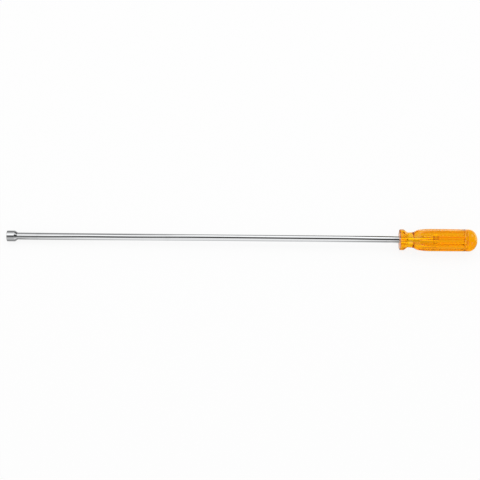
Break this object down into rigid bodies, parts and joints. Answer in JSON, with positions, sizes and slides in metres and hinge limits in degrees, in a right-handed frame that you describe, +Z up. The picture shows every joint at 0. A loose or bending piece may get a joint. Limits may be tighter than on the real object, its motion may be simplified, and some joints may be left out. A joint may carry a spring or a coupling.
{
  "type": "magnetic pick-up tool",
  "caption": "Long-reach magnetic pick-up tool: a magnet in a round chromed cup at the tip of a slim steel tube, held by a fluted clear amber handle with a lobed collar.",
  "frame": {"origin": "centre of the flat working face of the magnet, on the axis of the tool", "axes": "+X from the working face along the tool to the domed end of the handle, +Z up as it lies with a flute of the handle underneath"},
  "size_m": [0.5476, 0.0258, 0.0258],
  "materials": {
    "bright_chrome": "polished chromium plate on steel, with fine lengthwise polishing marks",
    "nickel_plate": "bright nickel plate, lightly scuffed on the working face",
    "brass": "turned brass",
    "plain_steel": "machined bare steel",
    "clear_amber": "clear amber cellulose acetate, polished, with soft handling marks"
  },
  "bodies": {
    "root": {"tip_cup": "bright_chrome", "magnet": "nickel_plate", "spacer_ring": "brass", "back_plate": "plain_steel", "cup_screw": "plain_steel", "tip_plug": "plain_steel", "shaft_tube": "bright_chrome", "winged_tang": "bright_chrome", "tang_pin": "bright_chrome", "handle": "clear_amber"}
  },
  "joints": []
}
